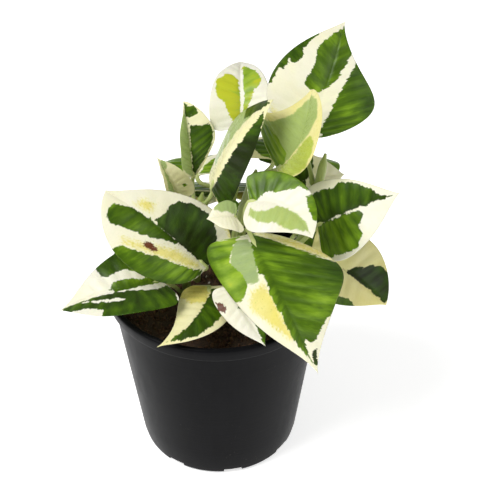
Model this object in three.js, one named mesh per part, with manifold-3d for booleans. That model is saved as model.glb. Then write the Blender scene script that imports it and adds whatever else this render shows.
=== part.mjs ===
// A young variegated pothos in a round plastic nursery pot.
// Millimetres, +Z up. The origin is the middle of the pot's underside, and -Y is the front.
import * as THREE from 'three';
import { mergeVertices } from 'three/addons/utils/BufferGeometryUtils.js';
import Module from 'manifold-3d';

const wasm = await Module();
wasm.setup();

// ---- Driving sizes ----
const potHeight = 94;
const rimRadius = 52.5;         // outside of the rim band
const baseRadius = 37.5;        // outside of the foot
const wall = 1.4;
const bandHeight = 7;           // height of the rim band
const bandStep = 3.4;           // how far the band stands out past the wall
const bandDraft = 0.9;          // how much further out the band is at its top
const lipRound = 1.2;           // rounding of the lip's outer edge
const lipInner = 0.6;           // rounding of its inner edge
const footRound = 3;            // rounded corner under the foot
const footSteps = 3;            // flats in that corner
const potFacets = 48;
const drainCount = 8;
const drainWidth = 9;
const drainReach = 6;           // how far a drain slot reaches in under the floor
const drainRise = 3.2;          // how far it climbs the wall
const drainTurn = 11;           // bearing of the first slot, degrees

const soilDrop = 10;            // soil surface below the rim
const soilCrown = 2.5;          // rise of the soil towards its middle
const soilEdge = 1.5;           // how far it sinks where it meets the wall
const soilEdgeWidth = 3;
const clearance = 0.3;          // between pieces that touch

const stemRadius = 2;
const stemSides = 8;
const stemSteps = 14;
const stemStraight = 1;         // straight length of stem above the soil's highest point
const stemBuried = 22;          // length of stem under the soil surface
const pocketGap = 0.6;          // between a stem and its pocket in the soil
const pocketSides = 12;
const petioleRadius = 1;
const petioleSides = 6;
const petioleSteps = 8;
const petioleClimb = 0.3;       // how far it follows its stem first, as a share of its length
const petioleSpread = 0.15;     // how far it leans away meanwhile
const petioleReach = 0.25;      // how far it runs in line with its blade at the end
const petioleDrop = 0.2;        // how far behind the blade it comes from
const firstJoint = 0.34;        // lowest and highest petiole joints, as shares of a stem's length
const lastJoint = 0.98;
const bladeGap = 0.6;           // from a petiole's end to its blade
const bladeThickness = 0.7;

// ---- Leaf form ----
const rowsAlong = 10;
const cellsPerHalf = 3;
const shoulder = 0.7;           // lower is fuller beside the petiole
const plainTaper = [1.3, 1.3];  // of the left and right halves: higher is more drawn out at the tip
const plainHeart = [0.7, 0.7];  // how far their lobes reach back beside the petiole
const ribSlope = 1.6;           // how much the lateral veins sweep forward

// ---- Finishes ----
const finish = {
  pot: { color: 0x1b1d20, roughness: 0.45, metalness: 0 },
  soil: { color: 0x2f2118, roughness: 0.95, metalness: 0 },
  stem: { color: 0x7c8f4a, roughness: 0.55, metalness: 0 },
  petiole: { color: 0x93a65c, roughness: 0.5, metalness: 0 },
  leaf: { color: 0x5f8f3a, roughness: 0.4, metalness: 0 },
};

// Stems: each is a list of points from the soil up, in the rim's plane: z is measured from the rim.
const stems = [
  { name: 'stem_left', points: [[-10, 6], [-10, 6, 8], [-8, 4, 28], [-6, 3, 45]] },
  { name: 'stem_middle', points: [[6, 4], [7, 5, 12], [12, 6, 34], [18, 8, 54]] },
  { name: 'stem_right', points: [[24, 0], [30, -2, 10], [41, -4, 30], [45, -3, 52], [48, 0, 68]] },
  { name: 'stem_front', points: [[4, -14], [5, -16, 10], [8, -18, 28], [10, -19, 44]] },
  { name: 'stem_side', points: [[-14, -6], [-14, -7, 4], [-13, -9, 12], [-12, -12, 20]] },
  { name: 'stem_back', points: [[4, 22], [4, 23, 8], [6, 23, 22], [9, 24, 38]] },
];

// Leaves. base and tip are measured from the pot's axis in the rim's plane or, where a leaf
// hangs over the rim, from the rim's edge at the bearing that overRim gives in degrees.
// face is where the upper side looks. halves, taper and heart shape the left and right halves,
// and fold and curl bend them towards it.
// stem and climb say which stem the petiole leaves, and how far up that stem.
const leaves = [
  { name: 'crown', base: [40, 8, 71], tip: [57, 40, 111], face: [0.1, -0.8, 0.6], halves: [24, 24],
    taper: [1.15, 1.8], heart: [0.2, -0.4], arch: 5, sway: 0, fold: [6, 2], curl: [-8, -14], stem: 2,
    climb: 0.8 },
  { name: 'top_left', base: [11, 17, 71], tip: [11, 50, 85], face: [0, -0.5, 0.85], halves: [14, 14],
    arch: 8, sway: 0, fold: [10, 16], curl: [0, 0], stem: 5, climb: 1 },
  { name: 'upper_middle', base: [27, -1, 61], tip: [41, 4, 98], face: [-0.75, -0.6, 0.35], halves: [26, 14],
    taper: [1.1, 0.5], heart: [0.8, 0], arch: 3, sway: 8, fold: [5, 22], curl: [0, -10], stem: 1,
    climb: 1 },
  { name: 'upper_folded', base: [-2, -3, 52], tip: [25, -4, 98], face: [-0.65, -0.4, 0.5], halves: [19, 13],
    taper: [0.9, 1.3], arch: 4, sway: 0, fold: [-26, -20], curl: [0, 0], stem: 0, climb: 0.95 },
  { name: 'upper_left', base: [-10, 10, 49], tip: [-14, 19, 83], face: [0.4, -0.85, 0.35], halves: [8, 12],
    taper: [1.3, 0.7], heart: [0, -0.5], arch: 3, sway: -1, fold: [35, 30], curl: [0, -10], stem: 0,
    climb: 0.7 },
  { name: 'left_curl', base: [-18, 9, 39], tip: [-26, 9, 60], face: [0.2, -0.6, 0.7], halves: [5.5, 9],
    arch: 2, sway: 0, fold: [30, 30], curl: [0, 0], stem: 0, climb: 0.5 },
  { name: 'left_large', base: [-4, -21, 22], tip: [-47, -13, 58], face: [0.25, -0.6, 0.8], halves: [24, 22],
    taper: [0.6, 1.3], heart: [0.2, 0.7], arch: 4, sway: 0, fold: [8, 4], curl: [-30, -6], stem: 4,
    climb: 0.85 },
  { name: 'left_over_rim', overRim: 215, base: [19, 9, 14], tip: [-27, 0, 4], face: [-0.3, -0.5, 0.8],
    halves: [21, 21], taper: [1.3, 1.7], arch: 5, sway: 0, fold: [30, 0], curl: [0, -8], stem: 4,
    climb: 0.3 },
  { name: 'front_left', overRim: 244, base: [20, 27, 10], tip: [-2, -7, 4], face: [-0.1, -0.6, 0.8],
    halves: [13, 13], taper: [1.5, 1.5], arch: 4, sway: -6, fold: [0, -15], curl: [-10, -10], stem: 4,
    climb: 0.35 },
  { name: 'front_small', overRim: 290, base: [-12, 21, 17], tip: [4, -2, 2], face: [-0.2, -0.7, 0.8],
    halves: [12, 9.5], arch: 2, sway: 0, fold: [5, 5], curl: [0, 0], stem: 3, climb: 0.35 },
  { name: 'front_large', overRim: 305, base: [-15, 11, 49], tip: [15, -16, -8], face: [0.1, -0.85, 0.45],
    halves: [28.5, 25], taper: [1.6, 1.75], heart: [-0.5, 0.7], arch: 5, sway: 0, fold: [2, -10],
    curl: [-5, -40], stem: 3, climb: 0.5 },
  { name: 'middle', base: [15, -28, 63], tip: [41, -46, 57], face: [-0.1, -0.3, 0.95], halves: [13.5, 15],
    taper: [1, 1.1], arch: 4, sway: -4, fold: [20, 0], curl: [0, -20], stem: 3, climb: 1 },
  { name: 'middle_left', base: [9, -31, 57], tip: [-3, -34, 58], face: [-0.3, -0.5, 0.9], halves: [8, 7.5],
    heart: [1.2, 1.2], arch: 2, sway: 0, fold: [5, 5], curl: [0, 0], stem: 3, climb: 0.8 },
  { name: 'right', base: [45, -14, 40], tip: [79, -22, 63], face: [-0.4, -0.75, 0.5], halves: [17, 18.5],
    arch: 5, sway: 0, fold: [4, 2], curl: [-8, -8], stem: 2, climb: 0.25 },
  { name: 'right_over_rim', overRim: 345, base: [-8, 4, 23], tip: [26, -8, 0], face: [0.3, -0.6, 0.75],
    halves: [19, 19], taper: [0.8, 1.3], arch: 4, sway: 0, fold: [6, 4], curl: [-8, -12], stem: 2,
    climb: 0.05 },
  { name: 'behind_right', base: [32, 11, 43], tip: [58, 13, 48], face: [0, -0.5, 0.85], halves: [14, 14],
    arch: 3, sway: 0, fold: [4, 4], curl: [0, 0], stem: 1, climb: 0.7 },
  { name: 'back_left', overRim: 125, base: [17, -20, 20], tip: [-8, 9, 2], face: [-0.4, 0.6, 0.7],
    halves: [21, 21], arch: 5, sway: 0, fold: [6, 6], curl: [-12, -12], stem: 5, climb: 0.1 },
  { name: 'back', overRim: 90, base: [5, -20, 24], tip: [2, 14, -6], face: [0, 0.7, 0.7], halves: [24, 24],
    arch: 6, sway: 0, fold: [6, 6], curl: [-12, -12], stem: 5, climb: 0.25 },
  { name: 'back_right', overRim: 50, base: [-12, -18, 22], tip: [12, 12, -2], face: [0.4, 0.6, 0.7],
    halves: [22, 22], arch: 5, sway: 0, fold: [6, 6], curl: [-12, -12], stem: 5, climb: 0.45 },
  { name: 'right_back', overRim: 18, base: [-14, -6, 16], tip: [16, 10, 0], face: [0.3, 0.2, 0.9],
    halves: [18, 18], arch: 4, sway: 0, fold: [6, 6], curl: [-10, -10], stem: 2, climb: 0.1 },
  { name: 'upper_back', base: [26, 18, 53], tip: [30, 50, 40], face: [0, 0.4, 0.9], halves: [16, 16],
    arch: 5, sway: 0, fold: [8, 8], curl: [-8, -8], stem: 1, climb: 0.9 },
  { name: 'upper_back_left', base: [-9, 18, 44], tip: [-8, 44, 32], face: [-0.1, 0.4, 0.9],
    halves: [17, 17], arch: 5, sway: 0, fold: [8, 8], curl: [-8, -8], stem: 5, climb: 0.85 },
  { name: 'upper_back_right', base: [36, 20, 45], tip: [42, 46, 32], face: [0.2, 0.4, 0.9],
    halves: [19, 19], arch: 5, sway: 0, fold: [8, 8], curl: [-8, -8], stem: 5, climb: 0.7 },
  { name: 'left_back', overRim: 152, base: [18, -14, 16], tip: [4, 0, 4], face: [-0.4, 0.2, 0.9],
    halves: [17, 17], arch: 4, sway: 0, fold: [6, 6], curl: [-10, -10], stem: 0, climb: 0.2 },
];

const degrees = THREE.MathUtils.degToRad;
const vector = (list) => new THREE.Vector3(...list);

// ---- Solids that need a cut ----
function toManifold(geometry) {
  const plain = geometry.clone();
  plain.deleteAttribute('normal');
  plain.deleteAttribute('uv');
  const merged = mergeVertices(plain, 1e-4);
  return new wasm.Manifold(new wasm.Mesh({
    numProp: 3,
    vertProperties: new Float32Array(merged.attributes.position.array),
    triVerts: new Uint32Array(merged.index.array),
  }));
}

function toGeometry(solid) {
  const mesh = solid.getMesh();
  const geometry = new THREE.BufferGeometry();
  geometry.setAttribute('position', new THREE.BufferAttribute(mesh.vertProperties, 3));
  geometry.setIndex(new THREE.BufferAttribute(mesh.triVerts, 1));
  geometry.computeVertexNormals();
  return geometry;
}

// A solid of revolution about Z, from [radius, height] pairs that close on the axis or on themselves.
function turned(profile, segments) {
  const geometry = new THREE.LatheGeometry(profile.map(([r, z]) => new THREE.Vector2(r, z)), segments);
  geometry.rotateX(Math.PI / 2);
  return geometry;
}

// ---- Pot ----
const slope = (rimRadius - bandStep - baseRadius) / (potHeight - bandHeight);
const outsideAt = (z) => baseRadius + slope * z;          // outer radius of the tapered wall
const insideAt = (z) => outsideAt(z) - wall;

function potSolid() {
  const ledge = potHeight - bandHeight;
  const foot = [];
  for (let k = 0; k <= footSteps; k += 1) {
    const a = degrees(90 * k / footSteps);
    foot.push([baseRadius - footRound * (1 - Math.sin(a)), footRound * (1 - Math.cos(a))]);
  }
  const bandInside = rimRadius - wall;
  const profile = [
    [0, 0], ...foot,
    [outsideAt(ledge), ledge],
    [rimRadius - bandDraft, ledge], [rimRadius, potHeight - lipRound],
    [rimRadius - lipRound * 0.4, potHeight - lipRound * 0.2], [rimRadius - lipRound, potHeight],
    [bandInside - lipInner, potHeight - lipInner], [bandInside - bandDraft, ledge + wall],
    [insideAt(ledge), ledge - wall / 2], [insideAt(wall), wall], [0, wall],
  ];
  let pot = toManifold(turned(profile, potFacets));
  for (let k = 0; k < drainCount; k += 1) {
    const slot = new THREE.BoxGeometry(2 * drainReach, drainWidth, 2 * drainRise);
    slot.translate(baseRadius, 0, 0);
    slot.rotateZ(degrees(drainTurn + 360 * k / drainCount));
    pot = pot.subtract(toManifold(slot));
  }
  return toGeometry(pot);
}

// ---- Soil ----
const soilTop = potHeight - soilDrop;

function soilSolid() {
  const bottom = wall + clearance;
  const edge = insideAt(soilTop) - clearance;
  const profile = [
    [0, bottom], [insideAt(bottom) - clearance, bottom], [edge, soilTop - soilEdge],
    [edge - soilEdgeWidth, soilTop], [edge * 0.5, soilTop + soilCrown * 0.7], [0, soilTop + soilCrown],
  ];
  let soil = toManifold(turned(profile, potFacets));
  for (const { points } of stems) {
    const pocketBottom = soilTop - stemBuried - clearance;
    const pocketTop = soilTop + 2 * soilCrown;
    const pocketRadius = stemRadius + pocketGap;
    const pocketDepth = pocketTop - pocketBottom;
    const pocket = new THREE.CylinderGeometry(pocketRadius, pocketRadius, pocketDepth, pocketSides);
    pocket.rotateX(Math.PI / 2);
    pocket.translate(points[0][0], points[0][1], (pocketTop + pocketBottom) / 2);
    soil = soil.subtract(toManifold(pocket));
  }
  return toGeometry(soil);
}

// ---- Stems ----
// The buried part is straight, so that it fits its pocket in the soil.
function stemCurve({ points }) {
  const [x, y] = points[0];
  const risen = points.slice(1).map(([px, py, pz]) => new THREE.Vector3(px, py, potHeight + pz));
  const buried = [0, 0.5, 1].map((k) => new THREE.Vector3(x, y, soilTop - stemBuried * (1 - k)));
  buried.push(new THREE.Vector3(x, y, soilTop + soilCrown + stemStraight));
  return new THREE.CatmullRomCurve3([...buried, ...risen], false, 'centripetal');
}

function tube(curve, radius, sides, steps) {
  const section = new THREE.Shape();
  for (let k = 0; k < sides; k += 1) {
    const a = 2 * Math.PI * k / sides;
    const move = k === 0 ? 'moveTo' : 'lineTo';
    section[move](radius * Math.cos(a), radius * Math.sin(a));
  }
  return new THREE.ExtrudeGeometry(section, { steps, bevelEnabled: false, extrudePath: curve });
}

// ---- Leaves ----
function anchorOf({ overRim }) {
  const anchor = new THREE.Vector3(0, 0, potHeight);
  if (overRim !== undefined) {
    anchor.x = rimRadius * Math.cos(degrees(overRim));
    anchor.y = rimRadius * Math.sin(degrees(overRim));
  }
  return anchor;
}

const outline = (t, taper) => t ** shoulder * (1 - t) ** taper;

// The midrib of a leaf and the axes that travel along it.
class Blade {
  constructor(leaf) {
    this.leaf = leaf;
    this.chord = vector(leaf.tip).sub(vector(leaf.base));
    const along = this.chord.clone().normalize();
    this.faceWay = vector(leaf.face).addScaledVector(along, -vector(leaf.face).dot(along)).normalize();
    this.sideWay = along.clone().cross(this.faceWay);
  }

  midrib(a) {
    const s = THREE.MathUtils.clamp(a, 0, 1);
    return this.chord.clone().multiplyScalar(a)
      .addScaledVector(this.faceWay, this.leaf.arch * 4 * s * (1 - s))
      .addScaledVector(this.sideWay, this.leaf.sway * 4 * s * (1 - s));
  }

  axes(a) {
    const s = THREE.MathUtils.clamp(a, 0, 1);
    const along = this.chord.clone()
      .addScaledVector(this.faceWay, this.leaf.arch * 4 * (1 - 2 * s))
      .addScaledVector(this.sideWay, this.leaf.sway * 4 * (1 - 2 * s)).normalize();
    const face = this.faceWay.clone().addScaledVector(along, -this.faceWay.dot(along)).normalize();
    const side = along.clone().cross(face);
    return { along, face, side };
  }

  // t runs from base to tip, v from the left margin at -1 to the right margin at 1.
  // Each half leaves the midrib at its fold and bends steadily by its curl.
  point(t, v, lift) {
    const { halves, taper = plainTaper, heart = plainHeart, fold, curl } = this.leaf;
    const k = v > 0 ? 1 : 0;
    const reach = Math.abs(v);
    const widest = shoulder / (shoulder + taper[k]);
    const half = outline(t, taper[k]) / outline(widest, taper[k]) * halves[k];
    const rib = t ** ribSlope;
    const margin = t - heart[k] * Math.sin(Math.PI * t) * (1 - t) ** 3;
    const a = rib + (margin - rib) * reach;
    const bend = degrees(curl[k] || 0.01) / halves[k];
    const start = degrees(fold[k]);
    const end = start + bend * reach * half;
    const out = (Math.sin(end) - Math.sin(start)) / bend;
    const rise = (Math.cos(start) - Math.cos(end)) / bend;
    const { face, side } = this.axes(a);
    const hand = Math.sign(v);
    const normal = face.clone().multiplyScalar(Math.cos(end)).addScaledVector(side, -hand * Math.sin(end));
    return this.midrib(a)
      .addScaledVector(side, hand * out).addScaledVector(face, rise).addScaledVector(normal, lift);
  }
}

// A closed lens: two grids that share the margin, the base point and the tip point.
function bladeSolid(blade) {
  const positions = [];
  const triangles = [];
  const known = new Map();
  const vertex = (i, j, upper) => {
    const onMargin = Math.abs(j) === cellsPerHalf;
    let key = `${i} ${j} ${onMargin ? '' : upper}`;
    if (i === 0 || i === rowsAlong) key = `end ${i}`;
    if (!known.has(key)) {
      const v = j / cellsPerHalf;
      const lift = bladeThickness / 2 * Math.sqrt(1 - v * v) * (upper ? 1 : -1);
      const pole = i === 0 || i === rowsAlong;
      const p = blade.point(i / rowsAlong, pole ? 0 : v, pole || onMargin ? 0 : lift);
      known.set(key, positions.length / 3);
      positions.push(p.x, p.y, p.z);
    }
    return known.get(key);
  };
  const add = (a, b, c) => {
    if (a !== b && b !== c && c !== a) triangles.push(a, b, c);
  };
  for (let i = 0; i < rowsAlong; i += 1) {
    for (let j = -cellsPerHalf; j < cellsPerHalf; j += 1) {
      for (const upper of [true, false]) {
        const [a, b, c, d] = [vertex(i, j, upper), vertex(i, j + 1, upper),
          vertex(i + 1, j, upper), vertex(i + 1, j + 1, upper)];
        if (upper) { add(a, b, c); add(b, d, c); } else { add(a, c, b); add(b, c, d); }
      }
    }
  }
  const geometry = new THREE.BufferGeometry();
  geometry.setAttribute('position', new THREE.Float32BufferAttribute(positions, 3));
  geometry.setIndex(triangles);
  geometry.computeVertexNormals();
  return geometry;
}

// A petiole starts beside its stem, climbs, and comes to the blade's base from behind.
function petioleCurve(leaf, blade, base) {
  const stem = stemCurve(stems[leaf.stem]);
  const height = firstJoint + (lastJoint - firstJoint) * leaf.climb;
  const joint = stem.getPointAt(height);
  const stemWay = stem.getTangentAt(height);
  const outward = base.clone().sub(joint);
  outward.addScaledVector(stemWay, -outward.dot(stemWay)).normalize();
  const start = joint.clone().addScaledVector(outward, stemRadius + petioleRadius + clearance);
  const { along, face } = blade.axes(0);
  const end = base.clone().addScaledVector(along, -bladeGap).addScaledVector(face, -bladeGap);
  const length = start.distanceTo(end);
  const early = start.clone()
    .addScaledVector(stemWay, length * petioleClimb).addScaledVector(outward, length * petioleSpread);
  const late = end.clone()
    .addScaledVector(along, -length * petioleReach).addScaledVector(face, -length * petioleDrop);
  return new THREE.CubicBezierCurve3(start, early, late, end);
}

// ---- Assembly ----
const plant = new THREE.Group();

function addPiece(name, geometry, material, position) {
  const mesh = new THREE.Mesh(geometry, new THREE.MeshStandardMaterial(material));
  mesh.name = name;
  if (position) mesh.position.copy(position);
  plant.add(mesh);
}

addPiece('nursery_pot', potSolid(), finish.pot);
addPiece('soil', soilSolid(), finish.soil);
for (const stem of stems) {
  addPiece(stem.name, tube(stemCurve(stem), stemRadius, stemSides, stemSteps), finish.stem);
}
for (const leaf of leaves) {
  const blade = new Blade(leaf);
  const base = anchorOf(leaf).add(vector(leaf.base));
  addPiece(`leaf_${leaf.name}`, bladeSolid(blade), finish.leaf, base);
  const route = petioleCurve(leaf, blade, base);
  addPiece(`petiole_${leaf.name}`, tube(route, petioleRadius, petioleSides, petioleSteps), finish.petiole);
}

export default plant;
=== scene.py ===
# A young variegated pothos in a round plastic nursery pot. Metres, +Z up, -Y is the front.
import math

import bpy
import numpy as np
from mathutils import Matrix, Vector


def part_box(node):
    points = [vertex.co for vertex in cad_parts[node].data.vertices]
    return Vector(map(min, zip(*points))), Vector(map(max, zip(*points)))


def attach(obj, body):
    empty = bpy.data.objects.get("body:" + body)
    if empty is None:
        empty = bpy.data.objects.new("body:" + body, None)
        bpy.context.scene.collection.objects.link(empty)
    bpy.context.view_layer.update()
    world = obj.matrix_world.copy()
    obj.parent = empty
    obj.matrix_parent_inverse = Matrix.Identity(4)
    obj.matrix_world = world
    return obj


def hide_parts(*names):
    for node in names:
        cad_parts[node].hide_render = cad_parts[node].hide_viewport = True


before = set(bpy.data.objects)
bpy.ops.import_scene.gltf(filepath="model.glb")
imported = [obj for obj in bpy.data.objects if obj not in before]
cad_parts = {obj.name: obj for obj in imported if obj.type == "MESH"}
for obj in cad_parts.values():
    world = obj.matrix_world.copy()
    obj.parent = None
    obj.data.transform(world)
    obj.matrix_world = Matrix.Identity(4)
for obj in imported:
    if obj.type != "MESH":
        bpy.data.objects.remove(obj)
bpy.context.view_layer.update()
scene = bpy.context.scene
millimetre = 0.001

potLow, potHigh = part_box("nursery_pot")
potHeight = potHigh.z / millimetre            # everything below is in millimetres until it becomes a mesh
rimRadius = (potHigh.x - potLow.x) / 2 / millimetre
print("frame loaded:", len(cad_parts), "nodes")


class Flow:
    # One socket of a node tree. Arithmetic on it adds Math nodes, and any other node comes from add().
    def __init__(self, tree, socket=None, node=None):
        self.tree = tree
        self.socket = socket
        self.node = node

    def add(self, kind, settings=None, sockets=None, output=0):
        node = self.tree.nodes.new(kind)
        for name, value in (settings or {}).items():
            if name == "stops":
                setStops(node.color_ramp, value)
            else:
                setattr(node, name, value)
        for name, value in (sockets or {}).items():
            target = node.inputs[name]
            if isinstance(value, Flow):
                self.tree.links.new(value.socket, target)
            else:
                target.default_value = value
        socket = node.outputs[output] if len(node.outputs) else None
        return Flow(self.tree, socket, node)

    def pick(self, output):
        return Flow(self.tree, self.node.outputs[output], self.node)

    def math(self, operation, *values):
        return self.add("ShaderNodeMath", {"operation": operation}, dict(enumerate(values)))

    def __add__(self, other):
        return self.math("ADD", self, other)

    def __radd__(self, other):
        return self.math("ADD", other, self)

    def __sub__(self, other):
        return self.math("SUBTRACT", self, other)

    def __rsub__(self, other):
        return self.math("SUBTRACT", other, self)

    def __mul__(self, other):
        return self.math("MULTIPLY", self, other)

    def __rmul__(self, other):
        return self.math("MULTIPLY", other, self)

    def __truediv__(self, other):
        return self.math("DIVIDE", self, other)

    def ramp(self, low, high, first=0.0, last=1.0):
        # a smooth step from first to last as the value goes from low to high
        settings = {"interpolation_type": "SMOOTHSTEP"}
        values = {"Value": self, "From Min": low, "From Max": high, "To Min": first, "To Max": last}
        return self.add("ShaderNodeMapRange", settings, values)

    def mix(self, factor, other):
        # this colour, turning into the other as factor goes to 1
        return self.add("ShaderNodeMix", {"data_type": "RGBA"}, {0: factor, 6: self, 7: other}, 2)

    def shade(self, factor):
        # this colour times a grey value
        grey = self.add("ShaderNodeCombineXYZ", None, {0: factor, 1: factor, 2: factor})
        return self.add("ShaderNodeVectorMath", {"operation": "MULTIPLY"}, {0: self, 1: grey})

    def stretch(self, x, y, z):
        return self.add("ShaderNodeVectorMath", {"operation": "MULTIPLY"}, {0: self, 1: (x, y, z)})

    def noise(self, scale, detail=2.0, roughness=0.5):
        values = {"Vector": self, "Scale": scale, "Detail": detail, "Roughness": roughness}
        return self.add("ShaderNodeTexNoise", None, values)

    def cells(self, scale, feature="F1"):
        return self.add("ShaderNodeTexVoronoi", {"feature": feature}, {"Vector": self, "Scale": scale})


def setStops(ramp, stops):
    while len(ramp.elements) < len(stops):
        ramp.elements.new(0.5)
    for element, (position, colour) in zip(ramp.elements, stops):
        element.position = position
        element.color = paint(colour)


def paint(rgb):
    # a screen colour, 0 to 255, as the linear colour that shaders work in
    linear = [((c / 255 + 0.055) / 1.055) ** 2.4 if c > 10 else c / 255 / 12.92 for c in rgb]
    return (*linear, 1.0)


def newMaterial(name):
    material = bpy.data.materials.new(name)
    material.use_nodes = True
    tree = material.node_tree
    tree.nodes.clear()
    start = Flow(tree)
    place = start.add("ShaderNodeTexCoord").pick("Object")
    return material, start, place


def finishMaterial(start, colour, roughness, height=None, bump=None, fixed=None):
    sockets = {"Base Color": colour, "Roughness": roughness, **(fixed or {})}
    if height is not None:
        depth, strength = bump
        values = {"Height": height, "Distance": depth, "Strength": strength}
        sockets["Normal"] = start.add("ShaderNodeBump", None, values)
    surface = start.add("ShaderNodeBsdfPrincipled", None, sockets)
    start.add("ShaderNodeOutputMaterial", None, {"Surface": surface})


def addMesh(name, points, faces, material, smooth=True):
    mesh = bpy.data.meshes.new(name)
    mesh.from_pydata(points, [], faces)
    mesh.materials.append(material)
    mesh.polygons.foreach_set("use_smooth", [smooth] * len(mesh.polygons))
    mesh.update()
    piece = bpy.data.objects.new(name, mesh)
    scene.collection.objects.link(piece)
    return piece


def settle(piece, material):
    # replaces a piece's modifiers by the mesh that they make
    bpy.context.view_layer.update()
    evaluated = piece.evaluated_get(bpy.context.evaluated_depsgraph_get())
    mesh = bpy.data.meshes.new_from_object(evaluated)
    name = piece.name
    bpy.data.objects.remove(piece)
    mesh.materials.clear()
    mesh.materials.append(material)
    made = bpy.data.objects.new(name, mesh)
    scene.collection.objects.link(made)
    return made


def newTree(name, inputs):
    # a Geometry Nodes tree with a geometry input and named number inputs
    tree = bpy.data.node_groups.new(name, "GeometryNodeTree")
    tree.interface.new_socket("Geometry", in_out="INPUT", socket_type="NodeSocketGeometry")
    for label, (kind, value) in inputs.items():
        socket = tree.interface.new_socket(label, in_out="INPUT", socket_type="NodeSocket" + kind)
        socket.default_value = value
    tree.interface.new_socket("Geometry", in_out="OUTPUT", socket_type="NodeSocketGeometry")
    return tree, Flow(tree).add("NodeGroupInput")


def endTree(geometry, material):
    whole = geometry.add("GeometryNodeRealizeInstances", None, {"Geometry": geometry})
    painted = geometry.add("GeometryNodeSetMaterial", None, {"Geometry": whole, "Material": material})
    geometry.add("NodeGroupOutput", None, {0: painted})


def applyTree(piece, tree, material, values):
    modifier = piece.modifiers.new(tree.name, "NODES")
    modifier.node_group = tree
    for item in tree.interface.items_tree:
        if item.in_out == "INPUT" and item.name in values:
            modifier[item.identifier] = values[item.name]
    return settle(piece, material)


def hand(piece, slotName, *nodes):
    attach(piece, "root")
    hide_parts(*nodes)


bladeForm = {
    "rows": 84,             # cells from base to tip
    "cells": 26,            # cells from the midrib to a margin
    "rowEase": 0.35,        # how much closer the rows lie at both ends
    "cellEase": 0.4,        # how much closer the cells lie at the margins
    "shoulder": 0.7,        # lower is fuller beside the petiole
    "taper": (1.3, 1.3),    # of the two halves, where a leaf gives none: higher is more drawn out
    "heart": (0.7, 0.7),    # how far their lobes reach back beside the petiole
    "ribSlope": 1.6,        # how much the lateral veins sweep forward
    "thickness": 0.55,
    "groove": 0.35,         # depth of the midrib above
    "grooveWidth": 0.9,
    "ridge": 0.75,          # height of the midrib below
    "ridgeWidth": 1.3,
    "ridgeFade": 0.6,       # how the ridge thins towards the tip
    "quilt": 0.4,           # rise of the blade between lateral veins
    "veinPairs": 11,
    "veinSpread": 0.9,      # below 1 the veins stand closer towards the tip
    "veinRound": 0.8,       # lower is a sharper crease at each vein
    "leastCurl": 0.01,      # degrees, in place of none
    "calmMidrib": 0.25,     # shares of a half over which quilting fades at the midrib and the margin
    "calmMargin": 0.3,
    "ripple": 0.5,          # wave of the margin
    "rippleCount": 2.2,
    "rippleShift": 0.37,    # from one leaf to the next, in turns of a sine
    "outlineSteps": 6,      # pieces of each side of a patch, so that it follows the leaf's own form
    "patternShift": 17.0,   # between the noise of one leaf and the next
}

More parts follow.
